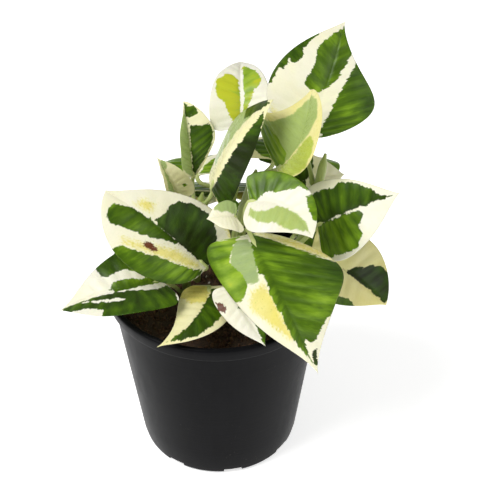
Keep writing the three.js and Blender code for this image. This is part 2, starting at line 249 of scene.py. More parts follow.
# Patches are outlines in leaf coordinates: first from base to tip, 0 to 1, then across, from -1 to 1.
# A number past 1 is outside the margin. Each patch starts with its tone, from dark green at 0 to lime at 1.
leafTable = [
    {"name": "crown", "base": (40, 8, 71), "tip": (57, 40, 111), "face": (0.1, -0.8, 0.6),
     "halves": (24, 24), "taper": (1.15, 1.8), "heart": (0.2, -0.4), "arch": 5, "fold": (6, 2),
     "curl": (-8, -14), "cream": 0.2,
     "green": [
         (0.3, [(0.87, -1.2), (0.84, -0.98), (0.76, -0.9), (0.69, -0.85), (0.63, -0.72), (0.57, -0.78),
                (0.56, -0.85), (0.6, -0.93), (0.5, -0.84), (0.49, -0.94), (0.42, -0.94), (0.35, -0.97),
                (0.32, -1.2)]),
         (0.46, [(0.97, 0), (0.91, -0.55), (0.8, -0.65), (0.74, -0.6), (0.7, -0.47), (0.62, -0.4),
                 (0.55, -0.42), (0.5, -0.4), (0.5, -0.17), (0.56, 0), (0.62, 0.3), (0.68, 0.5),
                 (0.73, 0.8), (0.78, 1.2), (0.95, 1.2)]),
         (0.42, [(0.7, 1.1), (0.65, 0.75), (0.57, 0.5), (0.48, 0.32), (0.38, 0.26), (0.27, 0.2),
                 (0.12, 0.2), (0.02, 0.6), (0.02, 1.2), (0.45, 1.2)])],
     "yellow": [[(0.5, 0.85), (0.55, 0.8), (0.58, 0.95), (0.5, 1.1)],
                [(0.1, -0.6), (0.22, -0.9), (0.1, -1)]]},
    {"name": "top_left", "base": (11, 17, 71), "tip": (11, 50, 85), "face": (0, -0.5, 0.85),
     "halves": (14, 14), "arch": 8, "fold": (10, 16), "cream": 0.05,
     "green": [
         (0.97, [(0.54, -0.02), (0.66, -0.15), (0.71, -0.45), (0.66, -0.72), (0.6, -0.88), (0.5, -0.92),
                 (0.43, -0.75), (0.4, -0.5), (0.28, -0.38), (0.15, -0.2), (0.06, -0.05), (0.2, 0.02),
                 (0.4, 0)]),
         (0.85, [(0.84, 0.2), (0.8, 0.55), (0.7, 0.8), (0.6, 0.85), (0.53, 0.75), (0.5, 0.5),
                 (0.4, 0.3), (0.15, 0.15), (0.3, 0.08), (0.5, 0.15), (0.65, 0.15)])]},
    {"name": "upper_middle", "base": (27, -1, 61), "tip": (41, 4, 98), "face": (-0.75, -0.6, 0.35),
     "halves": (26, 14), "taper": (1.1, 0.5), "heart": (0.8, 0), "arch": 3, "sway": 8, "fold": (5, 22),
     "curl": (0, -10), "cream": 0.75,
     "green": [
         (0.66, [(0.42, -0.4), (0.36, -0.7), (0.22, -0.92), (0.08, -0.6), (0.08, 0), (0.3, 0),
                 (0.4, -0.1)])],
     "wash": [
         (0.3, [(0.97, 0.2), (0.92, 0.75), (0.82, 0.78), (0.72, 0.5), (0.62, 0.15), (0.5, 0.02),
                (0.3, 0), (0.1, -0.1), (0.1, -0.95), (0.3, -0.9), (0.42, -0.75), (0.55, -0.68),
                (0.68, -0.7), (0.8, -0.6), (0.92, -0.45)]),
         (0.95, [(0.05, 0.1), (0.3, 0.08), (0.5, 0.12), (0.62, 0.3), (0.68, 0.55), (0.62, 0.85),
                 (0.4, 0.95), (0.1, 0.9)])]},
    {"name": "upper_folded", "base": (-2, -3, 52), "tip": (25, -4, 98), "face": (-0.65, -0.4, 0.5),
     "halves": (19, 13), "taper": (0.9, 1.3), "arch": 4, "fold": (-26, -20), "cream": 0.5,
     "green": [
         (0.1, [(0.02, 0.1), (0.3, 0.15), (0.55, 0.2), (0.75, 0.3), (0.9, 0.5), (0.85, 0.9), (0.7, 1.2),
                (0.02, 1.2)]),
         (0.25, [(0.72, -0.55), (0.85, -0.35), (0.98, 0), (0.95, -1.2), (0.7, -1.2)])],
     "wash": [(0.2, [(0.3, -0.4), (0.6, -0.3), (0.8, -0.35), (0.92, -0.6), (0.7, -1.2),
                     (0.25, -1.2)])]},
    {"name": "upper_left", "base": (-10, 10, 49), "tip": (-14, 19, 83), "face": (0.4, -0.85, 0.35),
     "halves": (8, 12), "taper": (1.3, 0.7), "heart": (0, -0.5), "arch": 3, "sway": -1,
     "fold": (35, 30), "curl": (0, -10), "cream": 0.45,
     "green": [
         (0.3, [(0.99, 0), (0.93, 0.9), (0.86, 0.75), (0.86, 0.2), (0.9, -0.2)]),
         (0.3, [(0.82, 0.1), (0.78, 0.3), (0.77, 0.45), (0.72, 0.6), (0.7, 0.95), (0.55, 0.9),
                (0.4, 0.85), (0.2, 0.7), (0.03, 0.3), (0.05, 0), (0.3, 0), (0.55, 0.05), (0.7, 0.08)])],
     "wash": [(0.25, [(0.95, -0.1), (0.8, -1.2), (0.3, -1.2), (0.05, -0.5), (0.1, 0), (0.5, 0),
                      (0.8, 0.05)])]},
    {"name": "left_curl", "base": (-18, 9, 39), "tip": (-26, 9, 60), "face": (0.2, -0.6, 0.7),
     "halves": (5.5, 9), "arch": 2, "quilt": 0.15, "fold": (30, 30), "cream": 0.5,
     "green": [(0.4, [(0.35, 0.5), (0.42, 0.45), (0.45, 0.6), (0.38, 0.7)])],
     "wash": [(0.25, [(0.98, 0), (0.8, -0.5), (0.5, -0.7), (0.1, -0.8), (0.02, -0.3), (0.3, -0.1)]),
              (0.2, [(0.9, 1.2), (0.8, 0.3), (0.97, 0)])]},
    {"name": "left_large", "base": (-4, -21, 22), "tip": (-47, -13, 58), "face": (0.25, -0.6, 0.8),
     "halves": (22.5, 22), "taper": (0.6, 1.3), "heart": (0.2, 0.7), "arch": 4, "fold": (8, 4),
     "curl": (-30, -6), "cream": 0.22,
     "green": [
         (0.12, [(0.02, 0), (0.05, 0.3), (0.15, 0.45), (0.25, 0.6), (0.33, 0.8), (0.42, 0.88),
                 (0.5, 0.88), (0.57, 0.8), (0.62, 0.6), (0.63, 0.4), (0.67, 0.25), (0.7, 0.1),
                 (0.66, 0), (0.4, -0.02), (0.2, -0.03)]),
         (0.34, [(0.92, -0.3), (0.93, -0.6), (0.9, -0.75), (0.86, -0.75), (0.8, -0.55), (0.72, -0.42),
                 (0.65, -0.32), (0.58, -0.2), (0.5, -0.1), (0.45, 0), (0.6, 0), (0.75, 0.03),
                 (0.85, 0)]),
         (0.42, [(0.72, -0.95), (0.7, -0.8), (0.6, -0.65), (0.5, -0.52), (0.35, -0.42), (0.2, -0.35),
                 (0.08, -0.3), (0.03, -0.5), (0.03, -1.2), (0.72, -1.2)])],
     "yellow": [[(0.75, -0.7), (0.6, -0.4), (0.45, -0.15), (0.2, -0.1), (0.1, -0.25), (0.35, -0.4),
                 (0.55, -0.55), (0.7, -0.75)],
                [(0.15, 0.9), (0.3, 0.95), (0.45, 1), (0.4, 1.2), (0.1, 1.2)],
                [(0.84, 0.25), (0.78, 0.2), (0.72, 0.25), (0.7, 0.55), (0.78, 0.6)]],
     "brown": [[(0.64, -0.42), (0.6, -0.36), (0.52, -0.4), (0.55, -0.5), (0.62, -0.52)]]},
    {"name": "left_over_rim", "overRim": 215, "base": (19, 9, 14), "tip": (-27, 0, 4),
     "face": (-0.3, -0.5, 0.8), "halves": (21, 21), "taper": (1.3, 1.7), "arch": 5, "fold": (30, 0),
     "curl": (0, -8), "cream": 0.1,
     "green": [
         (0.38, [(0.05, 0.1), (0.2, 0.1), (0.3, 0.2), (0.38, 0.35), (0.45, 0.45), (0.52, 0.5),
                 (0.58, 0.5), (0.62, 0.6), (0.6, 1.2), (0.05, 1.2)]),
         (0.5, [(0.12, 0.05), (0.25, 0.12), (0.35, 0.1), (0.45, 0.2), (0.55, 0.25), (0.6, 0.18),
                (0.63, 0.05), (0.58, -0.1), (0.5, -0.12), (0.3, -0.1), (0.1, -0.1)]),
         (0.3, [(0.97, -0.1), (0.75, -0.12), (0.6, -0.15), (0.45, -0.2), (0.3, -0.3), (0.1, -0.3),
                (0.02, -0.6), (0.05, -1.2), (0.95, -1.2)])],
     "bare": [[(0.85, -0.25), (0.7, -0.35), (0.55, -0.4), (0.48, -0.45), (0.55, -0.52), (0.7, -0.48)],
              [(0.85, -0.9), (0.75, -0.7), (0.62, -0.8), (0.6, -1.2), (0.85, -1.2)]]},
    {"name": "front_left", "overRim": 244, "base": (20, 27, 10), "tip": (-2, -7, 4),
     "face": (-0.1, -0.6, 0.8), "halves": (13, 13), "taper": (1.5, 1.5), "arch": 4, "sway": -6,
     "fold": (0, -15), "curl": (-10, -10), "cream": 0.55,
     "green": [(0.28, [(0.15, -0.1), (0.3, -0.02), (0.5, 0.05), (0.7, 0.05), (0.85, 0), (0.93, -0.3),
                       (0.85, -0.7), (0.75, -0.85), (0.6, -0.8), (0.5, -0.75), (0.35, -0.75),
                       (0.2, -0.6)])],
     "yellow": [[(0.05, 0), (0.4, 0), (0.45, 0.5), (0.3, 1.1), (0.05, 1.1)]]},
    {"name": "front_small", "overRim": 290, "base": (-12, 21, 17), "tip": (4, -2, 2),
     "face": (-0.2, -0.7, 0.8), "halves": (12, 9.5), "arch": 2, "quilt": 0.2, "fold": (5, 5),
     "cream": 0.1,
     "green": [(0.35, [(0.75, -0.3), (0.98, -0.2), (0.98, -1.2), (0.7, -1.2)]),
               (0.4, [(0.47, 0.1), (0.5, 0.02), (0.54, 0.08), (0.5, 0.22)])],
     "brown": [[(0.3, 0.95), (0.35, 0.65), (0.42, 0.6), (0.45, 0.8), (0.4, 1)]]},
    {"name": "front_large", "overRim": 305, "base": (-15, 11, 49), "tip": (15, -16, -8),
     "face": (0.1, -0.85, 0.45), "halves": (28.5, 25), "taper": (1.6, 1.75), "heart": (-0.5, 0.7),
     "arch": 5, "fold": (2, -10), "curl": (-5, -40), "cream": 0.25, "quilt": 0.9,
     "green": [
         (0.58, [(0.02, 0.3), (0.12, 0.35), (0.2, 0.42), (0.28, 0.55), (0.33, 0.5), (0.38, 0.42),
                 (0.43, 0.5), (0.46, 0.65), (0.47, 0.85), (0.45, 1.2), (0.02, 1.2)]),
         (0.45, [(0.02, 0), (0.15, 0.05), (0.3, 0.1), (0.4, 0.18), (0.43, 0.1), (0.5, 0.15),
                 (0.6, 0.24), (0.65, 0.22), (0.72, 0.36), (0.82, 0.45), (0.9, 0.3), (0.93, 0.1),
                 (0.84, -0.1), (0.8, -0.2), (0.82, -0.45), (0.8, -0.72), (0.72, -0.85), (0.66, -0.95),
                 (0.58, -1.2), (0.24, -1.2), (0.22, -0.95), (0.17, -0.65), (0.1, -0.4), (0.04, -0.15)]),
         (0.1, [(0.86, -0.4), (0.84, -0.8), (0.93, -0.9), (0.95, -0.3)])],
     "wash": [(0.1, [(0.1, 0.1), (0.12, 0.35), (0.3, 0.55), (0.42, 0.5), (0.44, 0.25), (0.36, 0.12),
                     (0.3, 0.08), (0.2, 0.05)])],
     "yellow": [[(0.46, 0.5), (0.46, 0.2), (0.55, 0.15), (0.65, 0.22), (0.8, 0.3), (0.75, 0.6),
                 (0.62, 0.7), (0.52, 0.8)],
                [(0.02, -0.1), (0.1, -0.4), (0.17, -0.65), (0.23, -0.98), (0.2, -1.2), (0.02, -1)]]},
    {"name": "middle", "base": (15, -28, 63), "tip": (41, -46, 57), "face": (-0.1, -0.3, 0.95),
     "halves": (13.5, 15), "taper": (1, 1.1), "arch": 4, "sway": -4, "fold": (20, 0), "curl": (0, -20),
     "cream": 0.12,
     "green": [
         (0.6, [(0.02, -0.05), (0.25, -0.03), (0.36, -0.25), (0.5, -0.38), (0.57, -0.7), (0.57, -0.85),
                (0.62, -0.92), (0.66, -1.2), (0.02, -1.2)]),
         (0.6, [(0.66, -0.78), (0.7, -0.7), (0.78, -0.62), (0.86, -0.7), (0.88, -1.2), (0.66, -1.2)])],
     "wash": [(0.6, [(0.2, 0.35), (0.3, 0.4), (0.45, 0.3), (0.55, 0.1), (0.65, 0.02), (0.75, -0.05),
                     (0.9, -0.25), (0.96, 0), (0.9, 0.6), (0.8, 0.85), (0.7, 0.75), (0.6, 0.65),
                     (0.45, 0.7), (0.3, 0.65), (0.2, 0.55)])],
     "yellow": [[(0.66, 0.55), (0.74, 0.45), (0.76, 0.65), (0.68, 0.75)]]},
    {"name": "middle_left", "base": (9, -31, 57), "tip": (-3, -34, 58), "face": (-0.3, -0.5, 0.9),
     "halves": (8, 7.5), "heart": (1.2, 1.2), "arch": 2, "quilt": 0.15, "fold": (5, 5), "cream": 0.3,
     "green": [(0.4, [(0.1, 0.6), (0.35, 0.9), (0.6, 1.2), (0.1, 1.2)])],
     "wash": [(0.2, [(0, 0.1), (0.3, 0.15), (0.6, 0.3), (0.75, 0.8), (0.6, 1.2), (0.1, 1.2)])]},
    {"name": "right", "base": (45, -14, 40), "tip": (79, -22, 63), "face": (-0.4, -0.75, 0.5),
     "halves": (17, 18.5), "arch": 5, "fold": (4, 2), "curl": (-8, -8), "cream": 0.15,
     "green": [
         (0.24, [(0.02, -0.1), (0.1, -0.45), (0.2, -0.65), (0.3, -0.8), (0.45, -0.75), (0.5, -0.8),
                 (0.52, -0.9), (0.6, -0.92), (0.7, -0.86), (0.8, -0.75), (0.88, -0.4), (0.95, -0.1),
                 (0.97, 0.05), (0.8, 0), (0.5, 0), (0.2, 0)]),
         (0.52, [(0.03, 0.1), (0.2, 0.02), (0.5, 0.02), (0.69, 0.04), (0.72, 0.3), (0.66, 0.4),
                 (0.6, 0.5), (0.59, 0.75), (0.5, 0.92), (0.4, 0.88), (0.28, 0.85), (0.15, 1.1),
                 (0.02, 1.1), (0.02, 0.4)])],
     "yellow": [[(0.58, 0.5), (0.52, 0.45), (0.5, 0.62), (0.55, 0.68)]]},
    {"name": "right_over_rim", "overRim": 345, "base": (-8, 4, 23), "tip": (26, -8, 0),
     "face": (0.3, -0.6, 0.75), "halves": (19, 19), "taper": (0.8, 1.3), "arch": 4, "fold": (6, 4),
     "curl": (-8, -12), "cream": 0.75,
     "green": [
         (0.14, [(0.55, 0), (0.6, -0.1), (0.64, -0.35), (0.68, -0.6), (0.75, -0.85), (0.85, -1.2),
                 (0.98, -1.2), (0.98, 0), (0.8, 0.02), (0.65, 0.05)]),
         (0.4, [(0.5, 0.9), (0.6, 0.75), (0.68, 0.8), (0.72, 1), (0.7, 1.2), (0.5, 1.2)])]},
    {"name": "behind_right", "base": (32, 11, 43), "tip": (58, 13, 48), "face": (0, -0.5, 0.85),
     "halves": (14, 14), "arch": 3, "fold": (4, 4), "cream": 0.3,
     "green": [(0.15, [(0.02, 0), (0.55, 0), (0.62, -0.5), (0.55, -1.2), (0.02, -1.2)]),
               (0.2, [(0.02, 0), (0.5, 0), (0.45, 0.6), (0.5, 1.2), (0.02, 1.2)])]},
    {"name": "back_left", "overRim": 125, "base": (17, -20, 20), "tip": (-8, 9, 2),
     "face": (-0.4, 0.6, 0.7), "halves": (21, 21), "arch": 5, "fold": (6, 6), "curl": (-12, -12),
     "pattern": "split"},
    {"name": "back", "overRim": 90, "base": (5, -20, 24), "tip": (2, 14, -6), "face": (0, 0.7, 0.7),
     "halves": (24, 24), "arch": 6, "fold": (6, 6), "curl": (-12, -12), "pattern": "islands"},
    {"name": "back_right", "overRim": 50, "base": (-12, -18, 22), "tip": (12, 12, -2),
     "face": (0.4, 0.6, 0.7), "halves": (22, 22), "arch": 5, "fold": (6, 6), "curl": (-12, -12),
     "pattern": "centre"},
    {"name": "right_back", "overRim": 18, "base": (-14, -6, 16), "tip": (16, 10, 0),
     "face": (0.3, 0.2, 0.9), "halves": (18, 18), "arch": 4, "fold": (6, 6), "curl": (-10, -10),
     "pattern": "split", "mirror": True},
    {"name": "upper_back", "base": (26, 18, 53), "tip": (30, 50, 40), "face": (0, 0.4, 0.9),
     "halves": (16, 16), "arch": 5, "fold": (8, 8), "curl": (-8, -8), "pattern": "centre",
     "mirror": True},
    {"name": "upper_back_left", "base": (-9, 18, 44), "tip": (-8, 44, 32), "face": (-0.1, 0.4, 0.9),
     "halves": (17, 17), "arch": 5, "fold": (8, 8), "curl": (-8, -8), "pattern": "islands",
     "mirror": True},
    {"name": "upper_back_right", "base": (36, 20, 45), "tip": (42, 46, 32), "face": (0.2, 0.4, 0.9),
     "halves": (19, 19), "arch": 5, "fold": (8, 8), "curl": (-8, -8), "pattern": "split"},
    {"name": "left_back", "overRim": 152, "base": (18, -14, 16), "tip": (4, 0, 4),
     "face": (-0.4, 0.2, 0.9), "halves": (17, 17), "arch": 4, "fold": (6, 6), "curl": (-10, -10),
     "pattern": "centre"},
]

# Variegation of the leaves at the back, which several of them share.
sharedPatterns = {
    "split": {
        "cream": 0.25,
        "green": [(0.4, [(0, 0), (0.9, 0), (0.95, -0.4), (0.8, -0.6), (0.6, -0.5), (0.5, -0.8),
                         (0.4, -1.2), (0.02, -1.2)]),
                  (0.5, [(0.3, 0.5), (0.5, 0.4), (0.6, 0.7), (0.5, 1.2), (0.25, 1.2)])],
        "wash": [(0.3, [(0.5, 0.05), (0.85, 0.1), (0.7, 0.5), (0.5, 0.35)])],
        "yellow": [[(0.2, 0.2), (0.4, 0.3), (0.3, 0.6), (0.15, 0.5)]]},
    "islands": {
        "cream": 0.2,
        "green": [(0.45, [(0.1, -0.1), (0.35, -0.2), (0.5, -0.6), (0.4, -0.9), (0.15, -0.8)]),
                  (0.35, [(0.55, 0), (0.95, 0), (0.9, -0.8), (0.7, -0.9), (0.62, -0.5)]),
                  (0.5, [(0.05, 0.1), (0.5, 0.1), (0.75, 0.4), (0.8, 1.2), (0.55, 1.2), (0.4, 0.7),
                         (0.1, 0.8)])],
        "wash": [(0.5, [(0.5, -0.05), (0.6, -0.4), (0.75, -0.3), (0.7, 0)])]},
    "centre": {
        "cream": 0.5,
        "green": [(0.42, [(0.02, -0.15), (0.3, -0.5), (0.45, -0.45), (0.6, -0.7), (0.75, -0.55), (0.97, 0),
                          (0.8, 0.5), (0.6, 0.4), (0.45, 0.75), (0.25, 0.5), (0.02, 0.2)]),
                  (0.3, [(0.3, 0.9), (0.5, 0.85), (0.55, 1.2), (0.2, 1.2)])],
        "yellow": [[(0.2, -0.6), (0.5, -0.6), (0.5, -1.1), (0.1, -1.1)]]},
}


def unit(v):
    return v / np.linalg.norm(v, axis=-1, keepdims=True)


def outlineOf(t, taper):
    peak = bladeForm["shoulder"] / (bladeForm["shoulder"] + taper)
    t = np.clip(t, 0, 1)
    shape = t ** bladeForm["shoulder"] * (1 - t) ** taper
    return shape / (peak ** bladeForm["shoulder"] * (1 - peak) ** taper)


class Blade:
    # The form of one leaf: v runs from the left margin at -1 to the right margin at 1, t from base to tip.
    def __init__(self, leaf):
        self.leaf = leaf
        base, tip = np.array(leaf["base"], float), np.array(leaf["tip"], float)
        self.chord = tip - base
        self.length = np.linalg.norm(self.chord)
        along = unit(self.chord)
        face = np.array(leaf["face"], float)
        self.faceWay = unit(face - along * (face @ along))
        self.sideWay = np.cross(along, self.faceWay)
        self.base = base + [0, 0, potHeight]
        if "overRim" in leaf:
            bearing = math.radians(leaf["overRim"])
            self.base += [rimRadius * math.cos(bearing), rimRadius * math.sin(bearing), 0]
        self.arch = leaf["arch"]
        self.sway = leaf.get("sway", 0)

    def midrib(self, a):
        s = np.clip(a, 0, 1)
        hump = (4 * s * (1 - s))[..., None]
        return (self.base + self.chord * a[..., None]
                + (self.faceWay * self.arch + self.sideWay * self.sway) * hump)

    def axes(self, a):
        slope = (4 * (1 - 2 * np.clip(a, 0, 1)))[..., None]
        along = unit(self.chord + (self.faceWay * self.arch + self.sideWay * self.sway) * slope)
        face = unit(self.faceWay - along * (along @ self.faceWay)[..., None])
        return along, face, np.cross(along, face)

    def half(self, t, v):
        tapers = self.leaf.get("taper", bladeForm["taper"])
        left, right = self.leaf["halves"]
        return np.where(v > 0, outlineOf(t, tapers[1]) * right, outlineOf(t, tapers[0]) * left)

    def share(self, t, v):
        # where along the chord a point lies: the lateral veins sweep forward, and the lobes reach back
        rib = t ** bladeForm["ribSlope"]
        left, right = self.leaf.get("heart", bladeForm["heart"])
        margin = t - np.where(v > 0, right, left) * np.sin(math.pi * t) * (1 - t) ** 3
        return rib + (margin - rib) * np.abs(v)

    def flat(self, t, v):
        # the same point on the leaf pressed flat, in millimetres
        t, v = np.asarray(t, float), np.asarray(v, float)
        return np.stack([v * self.half(t, v), self.share(t, v) * self.length], -1)

    def surface(self, t, v, lift):
        reach = np.abs(v)
        half = self.half(t, v)
        a = self.share(t, v)
        left, right = self.leaf["halves"]
        fold = np.radians(np.where(v > 0, self.leaf["fold"][1], self.leaf["fold"][0]))
        curls = [c or bladeForm["leastCurl"] for c in self.leaf.get("curl", (0, 0))]
        curl = np.radians(np.where(v > 0, curls[1], curls[0]))
        bend = curl / np.where(v > 0, right, left)
        end = fold + bend * reach * half
        out = (np.sin(end) - np.sin(fold)) / bend
        rise = (np.cos(fold) - np.cos(end)) / bend
        along, face, side = self.axes(a)
        hand = np.sign(v)
        normal = face * np.cos(end)[..., None] - side * (hand * np.sin(end))[..., None]
        return (self.midrib(a) + side * (hand * out)[..., None] + face * rise[..., None]
                + normal * lift[..., None])


def inside(points, outline):
    # signed distance to a closed outline, in the outline's own units, positive inside
    start, end = outline, np.roll(outline, -1, axis=0)
    edge = end - start
    gap = points[:, None, :] - start[None]
    share = np.clip((gap * edge).sum(-1) / np.maximum((edge * edge).sum(-1), 1e-9), 0, 1)
    distance = np.linalg.norm(gap - edge * share[..., None], axis=-1).min(1)
    above = start[None, :, 1] > points[:, None, 1]
    crosses = above != (end[None, :, 1] > points[:, None, 1])
    height = np.where(np.abs(edge[:, 1]) < 1e-9, 1e-9, edge[:, 1])
    crossing = start[:, 0] + edge[:, 0] * (points[:, None, 1] - start[:, 1]) / height
    odd = (crosses & (points[:, None, 0] < crossing)).sum(1) % 2 == 1
    return np.where(odd, distance, -distance)


def paintBlade(blade, t, v):
    # signed distances to the leaf's patches, and the tones of the nearest ones
    leaf = blade.leaf
    pattern = {**sharedPatterns.get(leaf.get("pattern"), {}), **leaf}
    turn = -1 if leaf.get("mirror") else 1
    points = blade.flat(t, v)

    def reach(outline):
        corners = np.array(outline, float)
        steps = np.linspace(0, 1, bladeForm["outlineSteps"], endpoint=False)[None, :, None]
        sides = corners[:, None] + (np.roll(corners, -1, axis=0) - corners)[:, None] * steps
        sides = sides.reshape(-1, 2)
        return inside(points, blade.flat(sides[:, 0], sides[:, 1] * turn))

    far = -20.0
    layers = {}
    for layer in ("green", "wash"):
        best, tone = np.full(len(t), far), np.zeros(len(t))
        for patchTone, outline in pattern.get(layer, []):
            depth = reach(outline)
            tone = np.where(depth > best, patchTone, tone)
            best = np.maximum(best, depth)
        layers[layer], layers[layer + "Tone"] = best, tone
    for layer in ("yellow", "brown"):
        layers[layer] = np.full(len(t), far)
        for outline in pattern.get(layer, []):
            layers[layer] = np.maximum(layers[layer], reach(outline))
    for outline in pattern.get("bare", []):
        layers["green"] = np.minimum(layers["green"], -reach(outline))
    layers["cream"] = np.full(len(t), pattern.get("cream", 0.2))
    return layers


def betweenRibs(t):
    # 0 on a lateral vein, 1 midway to the next
    form = bladeForm
    return np.abs(np.sin(math.pi * form["veinPairs"] * t ** form["veinSpread"])) ** form["veinRound"]


def bladeLift(leaf, t, v, half, order):
    # quilting between the lateral veins, the groove of the midrib and the wave of the margin
    form = bladeForm
    between = betweenRibs(t)
    middle = np.clip(np.abs(v) / form["calmMidrib"], 0, 1)
    middle = middle * np.clip((1 - np.abs(v)) / form["calmMargin"], 0, 1)
    quilt = leaf.get("quilt", form["quilt"]) * between * middle * np.clip(4 * t * (1 - t), 0, 1)
    across = v * half
    groove = -form["groove"] * np.exp(-(across / form["grooveWidth"]) ** 2) * np.clip(half / 4, 0, 1)
    turns = form["rippleCount"] * t + form["rippleShift"] * order
    wave = form["ripple"] * np.abs(v) ** 3 * np.sin(2 * math.pi * turns + v)
    return quilt + groove + wave * np.clip(3 * t * (1 - t), 0, 1)


def makeBlade(leaf, order, material):
    form = bladeForm
    blade = Blade(leaf)
    rows, cells = form["rows"], form["cells"]
    columns = 2 * cells + 1
    share = np.arange(rows + 1) / rows
    ease = form["rowEase"]
    share = (1 - ease) * share + ease * (0.5 - 0.5 * np.cos(math.pi * share))
    even, ease = np.linspace(-1, 1, columns), form["cellEase"]
    across = np.sin(even * math.pi / 2) * ease + even * (1 - ease)
    t, v = [g.ravel() for g in np.meshgrid(share, across, indexing="ij")]
    pole = (t == 0) | (t == 1)
    v = np.where(pole, 0, v)
    half = blade.half(t, v)
    lift = bladeLift(leaf, t, v, half, order)
    body = form["thickness"] / 2 * np.sqrt(np.clip(1 - v * v, 0, 1)) * ~pole
    rib = form["ridge"] * np.exp(-(v * half / form["ridgeWidth"]) ** 2)
    rib = rib * (1 - t) ** form["ridgeFade"] * ~pole
    upper = blade.surface(t, v, lift + body)
    lower = blade.surface(t, v, lift - body - rib * np.clip(half / 3, 0, 1))
    grid = np.arange((rows + 1) * columns).reshape(rows + 1, columns)
    under = grid + grid.size
    rim = np.zeros_like(grid, bool)
    rim[:, [0, -1]] = True
    rim[[0, -1], :] = True
    under = np.where(rim, grid, under)
    grid[0, :], grid[-1, :] = grid[0, 0], grid[-1, 0]         # one point at the base and one at the tip
    under[0, :], under[-1, :] = grid[0, 0], grid[-1, 0]
    quads = []
    for sheet, flip in ((grid, False), (under, True)):
        a, b, c, d = sheet[:-1, :-1], sheet[:-1, 1:], sheet[1:, 1:], sheet[1:, :-1]
        corners = (a, d, c, b) if flip else (a, b, c, d)
        quads.append(np.stack([q.ravel() for q in corners], -1))
    faces = []
    for quad in np.concatenate(quads).tolist():
        corner = [p for k, p in enumerate(quad) if p != quad[k - 1]]
        if len(set(corner)) >= 3:
            faces.append(corner)
    points = np.concatenate([upper, lower]) * millimetre
    used = np.unique(np.concatenate([np.array(f) for f in faces]))
    place = np.full(len(points), -1)
    place[used] = np.arange(len(used))
    faces = [[int(place[p]) for p in f] for f in faces]
    piece = addMesh("blade_" + leaf["name"], points[used].tolist(), faces, material)
    t2, v2 = np.tile(t, 2)[used], np.tile(v, 2)[used]
    layers = paintBlade(blade, t2, v2)
    layers["under"] = (used >= grid.size).astype(float)
    inward = np.clip((1 - np.abs(v2)) / 0.2, 0, 1)              # fades out at the margin
    # for the colour: painted shade and light of the quilting, 0 in the vein creases up to 1 on the bulges
    # between them
    layers["rib"] = betweenRibs(t2) * np.clip(np.abs(v2) / 0.12, 0, 1) * inward
    for name, values in layers.items():
        attribute = piece.data.attributes.new(name, "FLOAT", "POINT")
        attribute.data.foreach_set("value", values.astype(np.float32))
    shift = np.full(len(used), form["patternShift"] * order)
    vein = np.stack([t2 * blade.length, v2 * np.tile(half, 2)[used], shift], -1)
    attribute = piece.data.attributes.new("vein", "FLOAT_VECTOR", "POINT")
    attribute.data.foreach_set("vector", vein.astype(np.float32).ravel())
    return piece


leafLook = {
    "greens": [(0, (30, 42, 2)), (0.25, (48, 74, 4)), (0.45, (74, 104, 10)), (0.62, (108, 142, 24)),
               (0.85, (152, 180, 54)), (1, (186, 192, 46))],
    "greyGreens": [(0, (138, 160, 100)), (0.5, (162, 184, 98)), (1, (170, 184, 66))],
    "creams": [(0, (236, 234, 220)), (0.5, (230, 225, 178)), (1, (222, 210, 112))],
    "fleck": (150, 172, 60),
    "brown": (96, 46, 8),
    "underside": (196, 206, 150),
    "streakScale": 0.55,    # noise scales, per millimetre
    "fineScale": 1.6,
    "speckScale": 1.1,
    "netScale": 0.9,
    "jag": 3.2,             # how far streaks move the edge of a patch, millimetres
    "fineJag": 1.6,
    "washJag": 0.8,         # the same for the pale green patches, as a share
    "yellowScatter": 6.0,   # how far specks loosen the edge of a yellow or brown patch, millimetres
    "brownScatter": 3.0,
    "streakTone": 0.5,      # how much the tone changes with streaks, across the leaf, and between veins as painted shade in the creases and painted light on the bulges
    "broadTone": 0.9,
    # painted shade and light: darker green in the lateral vein creases, paler on the quilted bulges between
    # them
    "quiltShadeTone": 0.28,
    "washCover": 0.92,
    "underCover": 0.35,
    "roughness": 0.28,
    "specular": 0.2,
}


